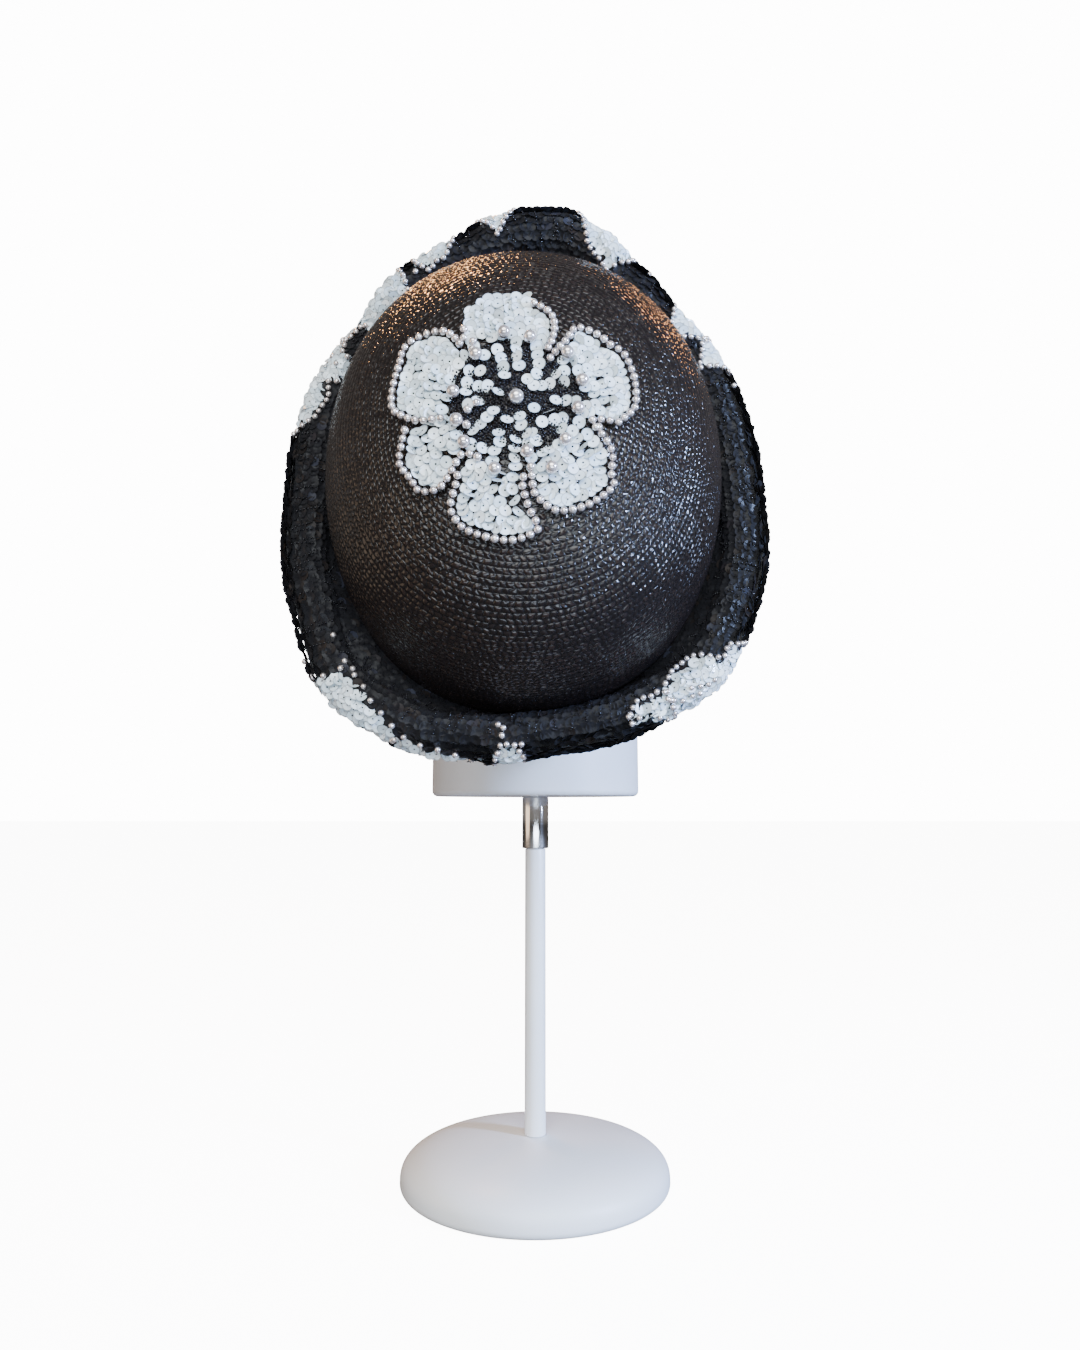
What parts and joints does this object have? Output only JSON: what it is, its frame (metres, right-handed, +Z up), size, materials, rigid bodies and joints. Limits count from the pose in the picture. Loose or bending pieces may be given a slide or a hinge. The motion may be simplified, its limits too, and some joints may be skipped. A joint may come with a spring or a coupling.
{
  "type": "turban hat on display stand",
  "caption": "Straw turban hat with a turned-up sequinned cuff and a white sequin and pearl flower, hung on a round block with a pole and a domed base.",
  "frame": {"origin": "centre of the flat underside of the stand's base, on the surface it stands on", "axes": "+Z up, the crown's top faces -Y and slightly up, +X to the right seen from there"},
  "size_m": [0.2236, 0.2578, 0.485],
  "materials": {
    "black_straw": "fine black-brown straw braid, half glossy",
    "black_sequins": "overlapping black cup sequins and seed beads",
    "white_sequins": "overlapping flat cool-white sequins",
    "pearl": "imitation pearl, soft pinkish-silver lustre",
    "stand_white": "smooth matte cool white paint",
    "stand_chrome": "polished chrome collar"
  },
  "bodies": {
    "root": {"centre_pearl": "pearl", "crown": "black_straw", "cuff": "black_sequins", "cuff_petal_01": "white_sequins", "cuff_petal_02": "white_sequins", "cuff_petal_03": "white_sequins", "cuff_petal_04": "white_sequins", "cuff_petal_05": "white_sequins", "cuff_petal_06": "white_sequins", "cuff_petal_07": "white_sequins", "cuff_petal_08": "white_sequins", "cuff_petal_09": "white_sequins", "cuff_petal_10": "white_sequins", "cuff_petal_11": "white_sequins", "cuff_petal_12": "white_sequins", "flower_petal_1": "white_sequins", "flower_petal_2": "white_sequins", "flower_petal_3": "white_sequins", "flower_petal_4": "white_sequins", "flower_petal_5": "white_sequins", "flower_petal_6": "white_sequins", "large_pearl_01": "pearl", "large_pearl_02": "pearl", "large_pearl_03": "pearl", "large_pearl_04": "pearl", "large_pearl_05": "pearl", "large_pearl_06": "pearl", "large_pearl_07": "pearl", "large_pearl_08": "pearl", "large_pearl_09": "pearl", "large_pearl_10": "pearl", "large_pearl_11": "pearl", "large_pearl_12": "pearl", "large_pearl_13": "pearl", "petal_edging_1": "pearl", "petal_edging_2": "pearl", "petal_edging_3": "pearl", "petal_edging_4": "pearl", "petal_edging_5": "pearl", "petal_edging_6": "pearl", "stand_base": "stand_white", "stand_block": "stand_white", "stand_collar": "stand_chrome", "stand_pole": "stand_white"}
  },
  "joints": []
}
